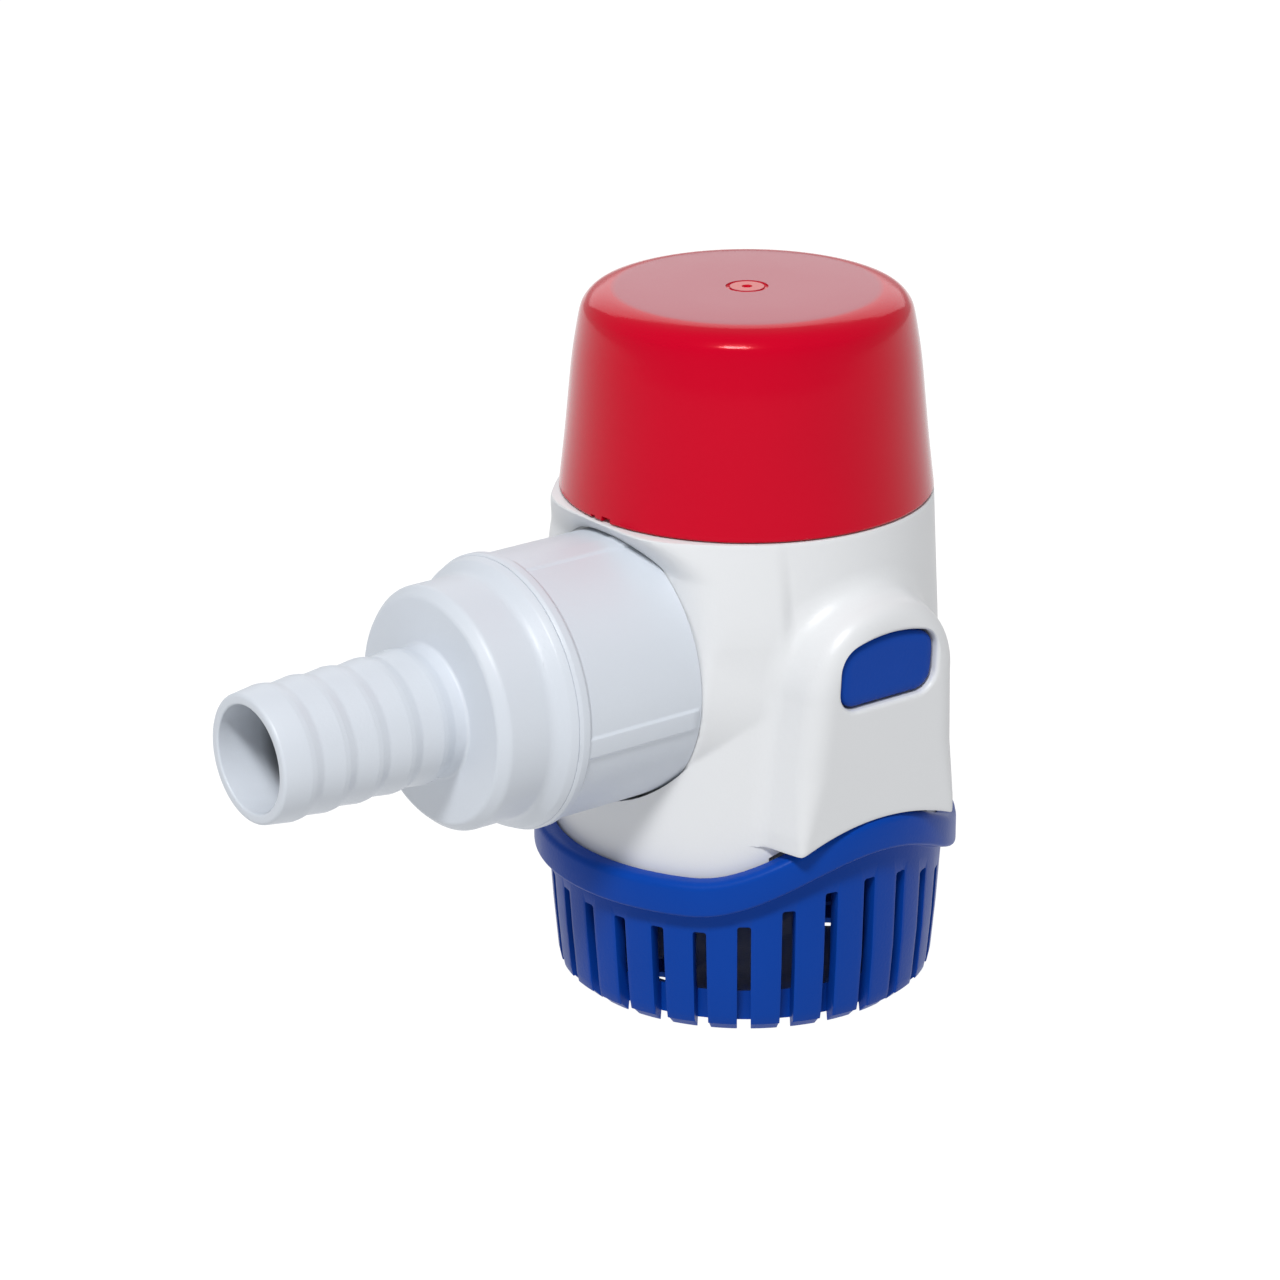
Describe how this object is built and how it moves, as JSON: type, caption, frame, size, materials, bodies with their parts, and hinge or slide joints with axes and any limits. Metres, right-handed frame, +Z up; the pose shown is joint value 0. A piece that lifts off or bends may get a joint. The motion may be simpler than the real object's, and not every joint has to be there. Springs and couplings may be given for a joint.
{
  "type": "submersible bilge pump",
  "caption": "Submersible bilge pump with a clip-on base: slotted strainer base, side lock buttons, domed motor cap, impeller and motor inside, and a barbed outlet with a union collar.",
  "frame": {"origin": "centre of the strainer's flat underside, on the pump's vertical axis", "axes": "+Z up along the pump's axis; the outlet points along -X; the lock buttons face -Y and +Y"},
  "size_m": [0.1306, 0.0744, 0.1159],
  "materials": {
    "red_plastic": "glossy moulded",
    "white_plastic": "satin moulded",
    "nozzle_plastic": "satin moulded",
    "blue_plastic": "satin moulded",
    "black_plastic": "satin moulded",
    "rubber": "matt",
    "steel": "brushed",
    "brass": "stamped",
    "bronze": "sintered, oil filled",
    "copper": "enamelled wire and copper bars",
    "ferrite": "ground ferrite",
    "graphite": "pressed carbon"
  },
  "bodies": {
    "strainer": {"strainer_base": "blue_plastic"},
    "front_tab": {"lock_tab_front": "blue_plastic"},
    "rear_tab": {"lock_tab_rear": "blue_plastic"},
    "pump": {"pump_body": "white_plastic", "volute_cup": "black_plastic", "volute_screw_1": "steel", "volute_screw_2": "steel", "volute_screw_3": "steel", "motor_cap": "red_plastic", "wire_gland": "rubber", "motor_canister": "white_plastic", "cap_o_ring": "rubber", "shaft_seal": "rubber", "motor_can": "steel", "motor_end_bell": "steel", "magnet_front": "ferrite", "magnet_rear": "ferrite", "lower_bush": "bronze", "upper_bush": "bronze", "brush_card": "black_plastic", "brush_left": "graphite", "brush_right": "graphite", "brush_spring_left": "steel", "brush_spring_right": "steel", "terminal_left": "brass", "terminal_right": "brass", "outlet_gasket": "rubber", "check_valve_ring": "black_plastic", "flap_pin": "steel"},
    "rotor": {"motor_shaft": "steel", "armature_core": "steel", "lower_winding": "copper", "upper_winding": "copper", "commutator": "copper", "lower_thrust_washer": "brass", "upper_thrust_washer": "brass", "impeller": "black_plastic", "impeller_clip": "steel"},
    "flap": {"check_flap": "rubber"},
    "nozzle": {"outlet_nozzle": "nozzle_plastic"},
    "collar": {"outlet_collar": "nozzle_plastic"}
  },
  "joints": [
    {"name": "pump_lift", "type": "slide", "parent": "strainer", "child": "pump", "axis": [0, 0, 1], "range_m": [0, 0.055], "deforming": ["lock_tab_front", "lock_tab_rear"]},
    {"name": "front_button", "type": "hinge", "parent": "strainer", "child": "front_tab", "pos_m": [0, -0.0297, 0.0304], "axis": [-1, 0, 0], "range_deg": [0, 3.5], "stiffness_Nm_per_rad": 2},
    {"name": "rear_button", "type": "hinge", "parent": "strainer", "child": "rear_tab", "pos_m": [0, 0.0297, 0.0304], "axis": [1, 0, 0], "range_deg": [0, 3.5], "stiffness_Nm_per_rad": 2},
    {"name": "rotor_spin", "type": "hinge", "parent": "pump", "child": "rotor", "pos_m": [0, 0, 0.06], "axis": [0, 0, 1], "continuous": true},
    {"name": "flap_swing", "type": "hinge", "parent": "pump", "child": "flap", "pos_m": [-0.0448, 0, 0.0713], "axis": [0, 1, 0], "range_deg": [0, 30], "stiffness_Nm_per_rad": 0.0004, "springref_deg": -11.46},
    {"name": "nozzle_draw", "type": "slide", "parent": "pump", "child": "nozzle", "axis": [-1, 0, 0], "range_m": [0, 0.008]},
    {"name": "collar_turn", "type": "hinge", "parent": "nozzle", "child": "collar", "pos_m": [-0.04, 0, 0.0587], "axis": [-1, 0, 0], "range_deg": [0, 720]}
  ],
  "couplings": [
    {"joint": "nozzle_draw", "follows": "collar_turn", "m_per_rad": 0.000636}
  ]
}
